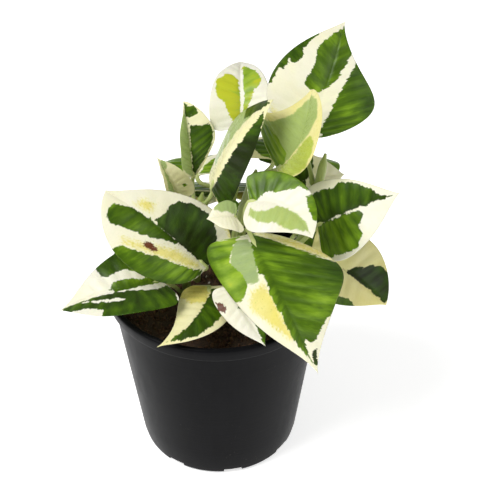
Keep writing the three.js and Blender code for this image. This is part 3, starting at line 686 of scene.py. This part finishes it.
def leafMaterial():
    look = leafLook
    material, start, _ = newMaterial("variegatedLeaf")

    def layer(name):
        return start.add("ShaderNodeAttribute", {"attribute_name": name}, None, "Fac")

    vein = start.add("ShaderNodeAttribute", {"attribute_name": "vein"}, None, "Vector")
    streak = vein.stretch(1.0, 0.22, 1.0).noise(look["streakScale"], 3.0, 0.6)      # long, as the veins run
    fine = vein.stretch(1.0, 0.4, 1.0).noise(look["fineScale"], 3.0, 0.6)
    speck = vein.noise(look["speckScale"], 2.0, 0.7)
    broad = vein.stretch(0.06, 0.06, 1.0).noise(1.0, 2.0)
    jag = (streak - 0.5) * look["jag"] + (fine - 0.5) * look["fineJag"]
    inGreen = (layer("green") + jag).ramp(-0.22, 0.22)
    inWash = (layer("wash") + jag * look["washJag"]).ramp(-0.5, 0.5)
    inYellow = (layer("yellow") + (speck - 0.5) * look["yellowScatter"]).ramp(-1.5, 2.0)
    inBrown = (layer("brown") + (speck - 0.5) * look["brownScatter"]).ramp(-0.2, 0.5)

    def ramp(factor, stops):
        return start.add("ShaderNodeValToRGB", {"stops": stops}, {"Fac": factor})

    creamTone = layer("cream") + inYellow * 0.7 + (broad - 0.5) * 0.5
    pale = ramp(creamTone, look["creams"])
    flecks = (speck.ramp(0.62, 0.7) * 0.5) * inYellow                    # green flecks in the yellow parts
    pale = pale.mix(flecks, paint(look["fleck"]))
    washTone = layer("washTone") + (streak - 0.5) * look["streakTone"]
    greenTone = layer("greenTone") + (streak - 0.5) * look["streakTone"] + (broad - 0.5) * look["broadTone"]
    # painted shade in the vein creases and painted light on the quilted bulges, as a change of green tone
    greenTone = greenTone + (layer("rib") - 0.55) * broad * look["quiltShadeTone"]
    colour = pale.mix(inWash * look["washCover"], ramp(washTone, look["greyGreens"]))
    colour = colour.mix(inGreen, ramp(greenTone, look["greens"]))
    colour = colour.mix(inBrown, paint(look["brown"]))
    colour = colour.mix(layer("under") * look["underCover"], paint(look["underside"]))
    net = vein.cells(look["netScale"], "DISTANCE_TO_EDGE")
    roughness = look["roughness"] + inGreen * 0.05 + (fine - 0.5) * 0.12 + layer("under") * 0.15
    height = fine * 0.5 + net.ramp(0.0, 0.12) * 0.5
    finishMaterial(start, colour, roughness, height, (0.00008, 0.5),
                   {"Specular IOR Level": look["specular"], "Subsurface Weight": 0.08,
                    "Subsurface Scale": 0.0015, "Subsurface Radius": (0.6, 0.9, 0.3)})
    return material


leafFinish = leafMaterial()
for order, leaf in enumerate(leafTable):
    piece = makeBlade(leaf, order, leafFinish)
    hand(piece, "leaf_blade", "leaf_" + leaf["name"])
print("leaf blades made:", len(leafTable))


shootForm = {
    "buried": 22,           # length of stem under the soil surface
    "soilDrop": 10,         # soil surface below the rim
    "soilCrown": 2.5,       # rise of the soil towards its middle
    "straight": 1,          # straight length of stem above the soil's highest point
    "stemRadius": 2,
    "petioleRadius": 1,
    "clearance": 0.3,
    "firstJoint": 0.34,     # lowest and highest petiole joints, as shares of a stem's length
    "lastJoint": 0.98,
    "climb": 0.3,           # how far a petiole follows its stem, as a share of its length
    "spread": 0.15,         # how far it leans away meanwhile
    "reach": 0.25,          # how far it runs in line with its blade at the end
    "drop": 0.2,            # how far below the blade it comes from
    "endBack": 0.2,         # its end, behind and under the blade's base
    "endUnder": 0.5,
    "petioleSteps": 20,
    "seatDepth": 0.4,       # where it starts inside the stem, as a share of the stem's radius
    "seatDrop": 0.8,        # and how far down it starts
}

stemRoutes = {
    "left": [(-10, 6), (-10, 6, 8), (-8, 4, 28), (-6, 3, 45)],
    "middle": [(6, 4), (7, 5, 12), (12, 6, 34), (18, 8, 54)],
    "right": [(24, 0), (30, -2, 10), (41, -4, 30), (45, -3, 52), (48, 0, 68)],
    "front": [(4, -14), (5, -16, 10), (8, -18, 28), (10, -19, 44)],
    "side": [(-14, -6), (-14, -7, 4), (-13, -9, 12), (-12, -12, 20)],
    "back": [(4, 22), (4, 23, 8), (6, 23, 22), (9, 24, 38)],
}

# each petiole's stem, and how far up that stem it leaves
petioleJoints = {
    "crown": ("right", 0.8), "top_left": ("back", 1), "upper_middle": ("middle", 1),
    "upper_folded": ("left", 0.95), "upper_left": ("left", 0.7), "left_curl": ("left", 0.5),
    "left_large": ("side", 0.85), "left_over_rim": ("side", 0.3), "front_left": ("side", 0.35),
    "front_small": ("front", 0.35), "front_large": ("front", 0.5), "middle": ("front", 1),
    "middle_left": ("front", 0.8), "right": ("right", 0.25), "right_over_rim": ("right", 0.05),
    "behind_right": ("middle", 0.7), "back_left": ("back", 0.1), "back": ("back", 0.25),
    "back_right": ("back", 0.45), "right_back": ("right", 0.1), "upper_back": ("middle", 0.9),
    "upper_back_left": ("back", 0.85), "upper_back_right": ("back", 0.7), "left_back": ("left", 0.2),
}


def stemPath(route, steps=24):
    # a centripetal Catmull-Rom curve through the straight buried part and the route
    soilTop = potHeight - shootForm["soilDrop"]
    x, y = route[0]
    levels = [soilTop - shootForm["buried"] * (1 - k) for k in (0, 0.5, 1)]
    levels.append(soilTop + shootForm["soilCrown"] + shootForm["straight"])
    points = [np.array([x, y, z], float) for z in levels]
    points += [np.array([px, py, potHeight + pz], float) for px, py, pz in route[1:]]
    points = [2 * points[0] - points[1]] + points + [2 * points[-1] - points[-2]]
    path = []
    for k in range(1, len(points) - 2):
        p = points[k - 1:k + 3]
        knots = [0.0]
        for a, b in zip(p, p[1:]):
            knots.append(knots[-1] + max(np.linalg.norm(b - a), 1e-6) ** 0.5)
        for u in np.linspace(knots[1], knots[2], steps, endpoint=False):
            line = [p[i] + (p[i + 1] - p[i]) * (u - knots[i]) / (knots[i + 1] - knots[i]) for i in range(3)]
            bow = [line[i] + (line[i + 1] - line[i]) * (u - knots[i]) / (knots[i + 2] - knots[i])
                   for i in range(2)]
            path.append(bow[0] + (bow[1] - bow[0]) * (u - knots[1]) / (knots[2] - knots[1]))
    path.append(points[-2])
    return np.array(path)


def pointAlong(path, share):
    lengths = np.concatenate([[0], np.cumsum(np.linalg.norm(np.diff(path, axis=0), axis=1))])
    target = share * lengths[-1]
    k = min(int(np.searchsorted(lengths, target, side="right")) - 1, len(path) - 2)
    part = (target - lengths[k]) / max(lengths[k + 1] - lengths[k], 1e-9)
    return path[k] + (path[k + 1] - path[k]) * part, unit(path[k + 1] - path[k])


def petiolePath(leaf):
    form = shootForm
    stemName, climb = petioleJoints[leaf["name"]]
    height = form["firstJoint"] + (form["lastJoint"] - form["firstJoint"]) * climb
    joint, stemWay = pointAlong(stemPath(stemRoutes[stemName]), height)
    blade = Blade(leaf)
    outward = blade.base - joint
    outward = unit(outward - stemWay * (outward @ stemWay))
    start = joint + outward * (form["stemRadius"] + form["petioleRadius"] + form["clearance"])
    along, face, _ = blade.axes(np.array(0.0))
    end = blade.base - along * form["endBack"] - face * form["endUnder"]
    length = np.linalg.norm(end - start)
    early = start + stemWay * length * form["climb"] + outward * length * form["spread"]
    late = end - along * length * form["reach"] - face * length * form["drop"]
    u = np.linspace(0, 1, form["petioleSteps"])[:, None]
    bend = (1 - u) ** 3 * start + 3 * (1 - u) ** 2 * u * early + 3 * (1 - u) * u * u * late + u ** 3 * end
    under = blade.midrib(np.array([0.04, 0.09])) - face * np.array([[0.55], [0.35]])
    seat = joint + outward * form["stemRadius"] * form["seatDepth"] - stemWay * form["seatDrop"]
    return np.concatenate([[seat], bend, under])


def shootTree(material):
    # a tube along a path: its radius swells at both ends
    inputs = {"Radius": ("Float", 0.001), "Foot swell": ("Float", 0.5), "Head swell": ("Float", 0.25),
              "End taper": ("Float", 0.0), "Sides": ("Int", 12)}
    tree, start = newTree("shoot", inputs)
    curve = start.add("GeometryNodeMeshToCurve", None, {"Mesh": start.pick("Geometry")})
    spline = start.add("GeometryNodeCurveSplineType", {"spline_type": "CATMULL_ROM"}, {"Curve": curve})
    even = start.add("GeometryNodeResampleCurve", None, {"Curve": spline, "Count": 48})
    along = start.add("GeometryNodeSplineParameter").pick("Factor")
    foot = (1 - along).ramp(0.72, 1.0) * start.pick("Foot swell")
    head = along.ramp(0.8, 0.97) * start.pick("Head swell")
    thin = along.ramp(0.94, 1.0) * start.pick("End taper")
    radius = (1 + foot + head) * (1 - thin)
    stored = start.add("GeometryNodeStoreNamedAttribute", {"data_type": "FLOAT", "domain": "POINT"},
                       {"Geometry": even, "Name": "alongShoot", "Value": along})
    section = start.add("GeometryNodeCurvePrimitiveCircle", None,
                        {"Resolution": start.pick("Sides"), "Radius": start.pick("Radius")})
    tube = start.add("GeometryNodeCurveToMesh", None,
                     {"Curve": stored, "Profile Curve": section, "Scale": radius, "Fill Caps": True})
    smooth = start.add("GeometryNodeSetShadeSmooth", None, {"Geometry": tube})
    endTree(smooth, material)
    return tree


def addPath(name, path, material):
    edges = [(k, k + 1) for k in range(len(path) - 1)]
    mesh = bpy.data.meshes.new(name)
    mesh.from_pydata((path * millimetre).tolist(), edges, [])
    mesh.materials.append(material)
    piece = bpy.data.objects.new(name, mesh)
    scene.collection.objects.link(piece)
    return piece


def shootMaterial(name, young, old, joint):
    material, start, place = newMaterial(name)
    along = start.add("ShaderNodeAttribute", {"attribute_name": "alongShoot"}, None, "Fac")
    streak = place.stretch(900, 900, 160).noise(1.0, 3.0)
    blotch = place.noise(90.0, 2.0)
    age = along + (blotch - 0.5) * 0.6
    base = start.add("ShaderNodeValToRGB", {"stops": [(0, old), (1, young)]}, {"Fac": age})
    colour = base.mix(along.ramp(0.12, 0.0) * 0.7, paint(joint))
    colour = colour.shade(0.8 + streak * 0.4)
    finishMaterial(start, colour, 0.4 + (blotch - 0.5) * 0.2, streak, (0.0001, 0.5))
    return material


stemFinish = shootMaterial("greenStem", (146, 160, 84), (96, 104, 50), (92, 78, 44))
petioleFinish = shootMaterial("palePetiole", (196, 204, 132), (130, 148, 70), (122, 112, 62))
stemTree = shootTree(stemFinish)
petioleTree = shootTree(petioleFinish)
for name, route in stemRoutes.items():
    path = addPath("shoot_" + name, stemPath(route), stemFinish)
    sizes = {"Radius": shootForm["stemRadius"] * millimetre, "Foot swell": 0.1, "Head swell": 0.0,
             "End taper": 0.7, "Sides": 20}
    hand(applyTree(path, stemTree, stemFinish, sizes), "stem", "stem_" + name)
for leaf in leafTable:
    path = addPath("stalk_" + leaf["name"], petiolePath(leaf), petioleFinish)
    sizes = {"Radius": shootForm["petioleRadius"] * millimetre, "Foot swell": 0.55, "Head swell": 0.15,
             "End taper": 0.75, "Sides": 14}
    hand(applyTree(path, petioleTree, petioleFinish, sizes), "petiole", "petiole_" + leaf["name"])
print("stems and petioles made")


potForm = {
    "facets": 192,
    "baseRadius": 37.5,
    "wall": 1.4,
    "bandHeight": 7,
    "bandStep": 3.4,        # how far the band stands out past the wall
    "bandDraft": 0.9,       # how much further out the band is at its top
    "bandRound": 0.7,       # rounding of the band's lower edge
    "fillet": 0.9,          # between the wall and the band
    "footRound": 3,
    "footWidth": 7.5,       # from the outside of the foot to the hollow under the floor
    "hollow": 1.2,          # height of that hollow
    "hollowSlope": 1.5,
    "lipRound": 1.2,
    "lipInner": 0.9,
    "drainCount": 8,
    "drainWidth": 9,
    "drainReach": 6,        # how far a drain slot reaches in under the floor
    "drainRise": 3.2,       # how far it climbs the wall
    "drainTurn": 11,        # bearing of the first slot, degrees
    "creaseAngle": 32,      # edges sharper than this stay sharp, degrees
}


def potWall(z):
    form = potForm
    slope = (rimRadius - form["bandStep"] - form["baseRadius"]) / (potHeight - form["bandHeight"])
    return form["baseRadius"] + slope * z


def corner(cx, cz, radius, first, last, steps=5):
    # points on a round corner, by angle in degrees from the outward way
    angles = np.radians(np.linspace(first, last, steps))
    return [(cx + radius * math.cos(a), cz + radius * math.sin(a)) for a in angles]


def potProfile():
    form = potForm
    ledge = potHeight - form["bandHeight"]
    wall, lip, foot = form["wall"], form["lipRound"], form["footRound"]
    outside = potWall(ledge)
    inner = rimRadius - wall
    fillet, bandRound, lipInner = form["fillet"], form["bandRound"], form["lipInner"]
    inFoot = form["baseRadius"] - form["footWidth"]
    profile = [(0, form["hollow"]), (inFoot - form["hollowSlope"], form["hollow"]), (inFoot, 0)]
    profile += corner(form["baseRadius"] - foot, foot, foot, -90, -4, 7)
    profile += [(potWall(z), z) for z in np.linspace(6, ledge - 3, 9)]
    profile += corner(outside + fillet, ledge - fillet, fillet, 180, 90, 4)
    profile += corner(rimRadius - form["bandDraft"] - bandRound, ledge + bandRound, bandRound, -90, 0, 4)
    profile += [(rimRadius - form["bandDraft"] * 0.5, ledge + form["bandHeight"] / 2)]
    profile += corner(rimRadius - lip, potHeight - lip, lip, 0, 90, 6)
    profile += corner(inner - 0.3, potHeight - lipInner, lipInner, 90, 180, 4)
    profile += [(inner - 1.25, ledge + 2), (outside - wall, ledge - 1.5)]
    profile += [(potWall(z) - wall, z) for z in (60, 30, wall + 2.4)]
    profile += [(potWall(wall) - wall - 2, wall + 0.4), (0, wall + 0.6)]
    return profile


def turnedMesh(name, profile, facets, material):
    # a solid of revolution from a profile that starts and ends on the axis
    points, rings = [], []
    for radius, z in profile:
        if radius == 0:
            rings.append([len(points)] * facets)
            points.append((0, 0, z * millimetre))
            continue
        ring = []
        for k in range(facets):
            a = 2 * math.pi * k / facets
            ring.append(len(points))
            x, y = radius * millimetre * math.cos(a), radius * millimetre * math.sin(a)
            points.append((x, y, z * millimetre))
        rings.append(ring)
    faces = []
    for low, high in zip(rings, rings[1:]):
        for k in range(facets):
            n = (k + 1) % facets
            face = [low[k], low[n], high[n], high[k]]
            face = [p for i, p in enumerate(face) if p != face[i - 1]]
            faces.append(face)
    return addMesh(name, points, faces, material)


def drainTree(material):
    inputs = {"Count": ("Int", 8), "Foot radius": ("Float", 0.04), "Turn": ("Float", 0.0),
              "Size": ("Vector", (0.01, 0.01, 0.01))}
    tree, start = newTree("drainSlots", inputs)
    ring = start.add("GeometryNodeMeshCircle", None,
                     {"Vertices": start.pick("Count"), "Radius": start.pick("Foot radius")})
    index = start.add("GeometryNodeInputIndex")
    angle = index * (2 * math.pi) / start.pick("Count")
    turn = start.add("ShaderNodeCombineXYZ", None, {2: angle})
    cutter = start.add("GeometryNodeMeshCube", None, {"Size": start.pick("Size")})
    slots = start.add("GeometryNodeInstanceOnPoints", None,
                      {"Points": ring, "Instance": cutter.pick("Mesh"), "Rotation": turn})
    whole = start.add("GeometryNodeRealizeInstances", None, {"Geometry": slots})
    spin = start.add("ShaderNodeCombineXYZ", None, {2: start.pick("Turn")})
    turned = start.add("GeometryNodeTransform", None, {"Geometry": whole, "Rotation": spin})
    cut = start.add("GeometryNodeMeshBoolean", {"operation": "DIFFERENCE", "solver": "EXACT"},
                    {"Mesh 1": start.pick("Geometry"), "Mesh 2": turned}, "Mesh")
    endTree(cut, material)
    return tree


potLook = {
    "blacks": [(0, (9, 9, 10)), (1, (21, 21, 23))],
    "dust": (120, 116, 108),
    "dustCover": 0.35,
    "roughness": 0.36,
    "specular": 0.04,
    "grainScale": 2600.0,   # noise scales, per metre
    "dustScale": 1500.0,
    "dustPatchScale": 70.0,
}


def potMaterial():
    look = potLook
    material, start, place = newMaterial("blackPotPlastic")
    grain = place.noise(look["grainScale"], 2.0)
    flow = place.stretch(30, 30, 900).noise(1.0, 2.0)             # faint rings from the mould
    scuff = place.stretch(220, 220, 60).noise(1.0, 4.0, 0.65)
    specks = place.noise(look["dustScale"], 1.0).ramp(0.74, 0.78)
    dust = specks * place.noise(look["dustPatchScale"]).ramp(0.5, 0.65)
    colour = start.add("ShaderNodeValToRGB", {"stops": look["blacks"]}, {"Fac": scuff})
    colour = colour.mix(dust * look["dustCover"], paint(look["dust"]))
    roughness = look["roughness"] + (scuff - 0.5) * 0.25 + dust * 0.2
    finishMaterial(start, colour, roughness, grain * 0.4 + flow * 0.6, (0.00012, 0.4),
                   {"Specular IOR Level": look["specular"]})
    return material


potFinish = potMaterial()
pot = turnedMesh("nursery_pot_shell", potProfile(), potForm["facets"], potFinish)
drainSize = (2 * potForm["drainReach"], potForm["drainWidth"], 2 * potForm["drainRise"])
pot = applyTree(pot, drainTree(potFinish), potFinish, {
    "Count": potForm["drainCount"], "Foot radius": potForm["baseRadius"] * millimetre,
    "Turn": math.radians(potForm["drainTurn"]), "Size": [s * millimetre for s in drainSize]})
for polygon in pot.data.polygons:
    polygon.use_smooth = True
pot.data.set_sharp_from_angle(angle=math.radians(potForm["creaseAngle"]))
hand(pot, "pot_plastic", "nursery_pot")
print("pot made:", len(pot.data.polygons), "faces")


soilForm = {
    "rings": 46,
    "facets": 120,
    "clearance": 0.3,
    "edge": 1.5,            # how far the surface sinks at the wall
    "lumps": 1.5,           # height of the lumps
    "lumpWaves": 18,        # waves that add up to the lumps
    "crumbs": 1500,
    "crumbSize": 0.0016,    # radius before squashing, metres
    "crumbDepth": 1.2,      # crumbs lie on all of the mix that is less than this below its level
    "perlite": 60,
    "perliteSize": 0.00128,
    "spreadLevel": 84,      # height of the disc whose area the crumbs are counted by
    "crumbSeed": 11,
    "perliteSeed": 29,
    "seed": 7,
}


def soilMesh(material):
    form = soilForm
    top = potHeight - shootForm["soilDrop"]
    edge = potWall(top) - potForm["wall"] - form["clearance"]
    bottom = potForm["wall"] + 1
    rng = np.random.default_rng(form["seed"])
    waves = [(rng.uniform(0.12, 0.55), rng.uniform(0, 2 * math.pi), rng.uniform(0, 6.3))
             for _ in range(form["lumpWaves"])]
    lowest = potWall(bottom) - potForm["wall"] - 1.2
    profile = [(0, bottom), (lowest, bottom), (edge, top - form["edge"])]
    profile += [(edge * (1 - k / form["rings"]), top) for k in range(1, form["rings"])] + [(0, top)]
    piece = turnedMesh("potting_mix", profile, form["facets"], material)
    for vertex in piece.data.vertices:
        x, y, z = vertex.co / millimetre
        if z < top - 0.5:
            continue
        share = min(math.hypot(x, y) / edge, 1)
        bumps = sum(math.sin(f * (x * math.cos(a) + y * math.sin(a)) + p) for f, a, p in waves)
        bumps = bumps / len(waves) ** 0.5
        rise = shootForm["soilCrown"] * (1 - share ** 2) * 0.8
        fade = min(1, (1 - share) * 8)
        sink = form["edge"] * share ** 12
        vertex.co.z += (rise + form["lumps"] * 0.55 * bumps * fade - sink) * millimetre
    return piece


def crumbTree(material, name):
    inputs = {"Count": ("Float", 1000.0), "Size": ("Float", 0.001), "Seed": ("Int", 1),
              "Lowest": ("Float", 0.0)}
    tree, start = newTree(name, inputs)
    position = start.add("GeometryNodeInputPosition")
    height = start.add("ShaderNodeSeparateXYZ", None, {0: position}, "Z")
    onTop = height.math("GREATER_THAN", height, start.pick("Lowest"))
    points = start.add("GeometryNodeDistributePointsOnFaces", None,
                       {"Mesh": start.pick("Geometry"), "Density": start.pick("Count"),
                        "Seed": start.pick("Seed"), "Selection": onTop})
    stone = start.add("GeometryNodeMeshIcoSphere", None, {"Radius": start.pick("Size"), "Subdivisions": 1})
    vectors = {"data_type": "FLOAT_VECTOR"}
    squash = start.add("FunctionNodeRandomValue", vectors,
                       {"Min": (0.35, 0.25, 0.2), "Max": (1.5, 0.9, 0.7),
                        "Seed": start.pick("Seed")}, "Value")
    turn = start.add("FunctionNodeRandomValue", vectors,
                     {"Min": (0, 0, 0), "Max": (6.28, 6.28, 6.28), "Seed": start.pick("Seed") + 3}, "Value")
    crumbs = start.add("GeometryNodeInstanceOnPoints", None,
                       {"Points": points.pick("Points"), "Instance": stone.pick("Mesh"),
                        "Rotation": turn, "Scale": squash})
    endTree(crumbs, material)
    return tree


def soilMaterial(name, dark, light):
    material, start, place = newMaterial(name)
    clod = place.noise(260.0, 4.0, 0.6)
    grit = place.noise(1400.0, 3.0, 0.7)
    mixed = clod * 0.6 + grit * 0.4
    colour = start.add("ShaderNodeValToRGB", {"stops": [(0.25, dark), (0.75, light)]}, {"Fac": mixed})
    finishMaterial(start, colour, 0.82 + grit * 0.15, grit * 0.5 + clod * 0.5, (0.0008, 0.8))
    return material


soilFinish = soilMaterial("dampPottingMix", (26, 17, 11), (78, 56, 38))
barkFinish = soilMaterial("barkCrumb", (34, 21, 13), (104, 72, 46))
perliteFinish = soilMaterial("perlite", (190, 186, 174), (236, 233, 224))
soil = soilMesh(soilFinish)
soilLevel = (potHeight - shootForm["soilDrop"] - soilForm["crumbDepth"]) * millimetre
soilArea = math.pi * (potWall(soilForm["spreadLevel"]) * millimetre) ** 2
for name, finish, count, size, seed in (
        ("bark_crumbs", barkFinish, soilForm["crumbs"], soilForm["crumbSize"], soilForm["crumbSeed"]),
        ("perlite_grains", perliteFinish, soilForm["perlite"], soilForm["perliteSize"],
         soilForm["perliteSeed"])):
    scatter = bpy.data.objects.new(name, soil.data.copy())
    scene.collection.objects.link(scatter)
    values = {"Count": count / soilArea, "Size": size, "Seed": seed, "Lowest": soilLevel}
    scatter = applyTree(scatter, crumbTree(finish, name), finish, values)
    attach(scatter, "root")
hand(soil, "potting_soil", "soil")
print("potting mix made")


studio = {
    "target": (0.015, 0.0, 0.109),
    "elevation": 38,
    "distance": 0.62,
    "lens": 97.36,
    "sensor": 36,
    "floorSize": 4.0,       # from the middle to an edge
    "floorGlow": 0.6,
    "keyPlace": (-0.9, -0.5, 1.5),
    "keySize": 1.0,
    "keyPower": 26.0,
    "fillPlace": (1.0, -0.6, 0.8),
    "fillSize": 0.9,
    "fillPower": 5.0,
    "skyStrength": 0.27,
}


def addCamera():
    lens = bpy.data.cameras.new("camera")
    lens.lens = studio["lens"]
    lens.sensor_width = studio["sensor"]
    camera = bpy.data.objects.new("camera", lens)
    scene.collection.objects.link(camera)
    tilt = math.radians(studio["elevation"])
    away = Vector((0, -math.cos(tilt), math.sin(tilt)))
    camera.location = Vector(studio["target"]) + away * studio["distance"]
    camera.rotation_euler = (-away).to_track_quat("-Z", "Y").to_euler()
    scene.camera = camera


def addLight(name, place, size, power):
    light = bpy.data.lights.new(name, "AREA")
    light.shape = "DISK"
    light.size = size
    light.energy = power
    lamp = bpy.data.objects.new(name, light)
    scene.collection.objects.link(lamp)
    lamp.location = place
    lamp.rotation_euler = (Vector(studio["target"]) - Vector(place)).to_track_quat("-Z", "Y").to_euler()


def floorMaterial():
    material, start, place = newMaterial("paleFloor")
    tint = place.noise(3.0, 2.0)
    pales = [(0, (246, 246, 246)), (1, (252, 252, 252))]
    colour = start.add("ShaderNodeValToRGB", {"stops": pales}, {"Fac": tint})
    glow = {"Emission Color": (1, 1, 1, 1), "Emission Strength": studio["floorGlow"]}
    finishMaterial(start, colour, 0.9, fixed=glow)
    return material


def addFloor():
    half = studio["floorSize"]
    points = [(-half, -half, 0), (half, -half, 0), (half, half, 0), (-half, half, 0)]
    floor = addMesh("studio_floor", points, [(0, 1, 2, 3)], floorMaterial(), False)


addCamera()
addLight("keyLight", studio["keyPlace"], studio["keySize"], studio["keyPower"])
addLight("fillLight", studio["fillPlace"], studio["fillSize"], studio["fillPower"])
addFloor()
world = bpy.data.worlds.new("studioWorld")
scene.world = world
world.use_nodes = True
sky = world.node_tree.nodes["Background"]
sky.inputs["Color"].default_value = (1, 1, 1, 1)
sky.inputs["Strength"].default_value = studio["skyStrength"]
scene.view_settings.view_transform = "Standard"
print("studio made")
